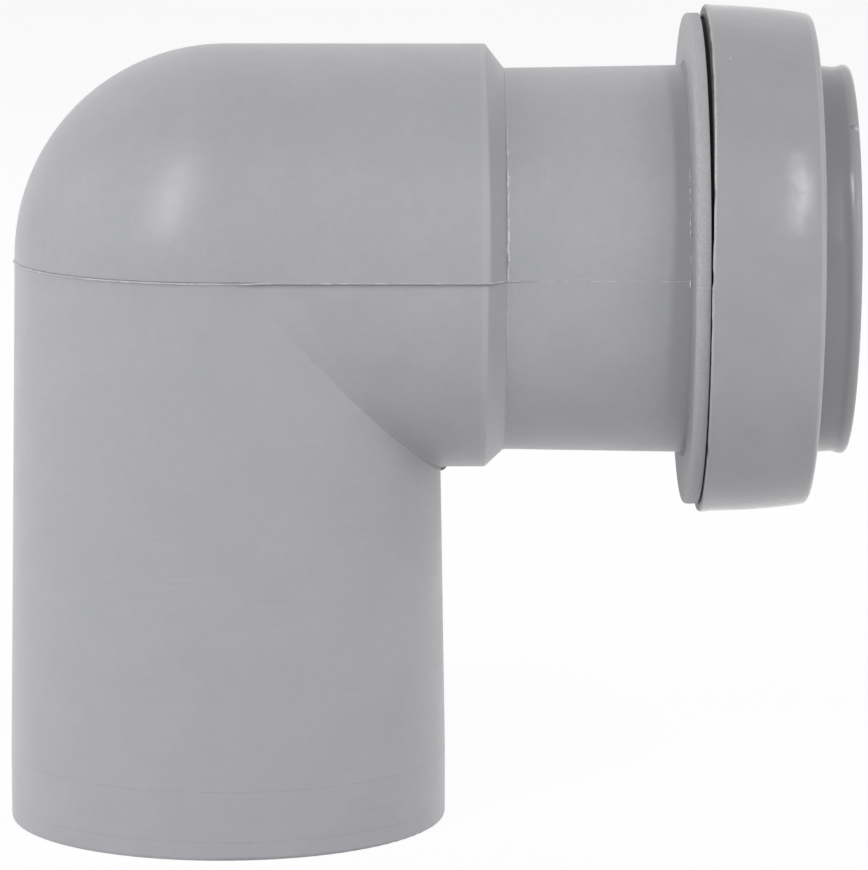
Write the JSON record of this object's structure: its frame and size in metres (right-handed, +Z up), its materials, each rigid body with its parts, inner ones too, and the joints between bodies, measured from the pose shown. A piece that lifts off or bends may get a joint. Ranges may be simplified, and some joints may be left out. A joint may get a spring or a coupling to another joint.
{
  "type": "reducing drain elbow",
  "caption": "Grey plastic drain elbow with a plain spigot below, a domed knuckle and a smaller push-fit socket to the side, closed by a retaining cap round its seal.",
  "frame": {"origin": "centre of the spigot's open end, on the plane that the elbow stands on", "axes": "+Z runs up the spigot's axis, +X points out of the socket's mouth, and the two axes cross 64.5 mm above the origin"},
  "size_m": [0.0957, 0.0578, 0.0934],
  "materials": {
    "body_plastic": "satin grey moulded plastic with a fine parting line",
    "cap_plastic": "satin grey moulded plastic, slightly glossier than the body",
    "seal_rubber": "matt black rubber"
  },
  "bodies": {
    "root": {"elbow_body": "body_plastic", "seal_ring": "seal_rubber", "retaining_cap": "cap_plastic"}
  },
  "joints": []
}
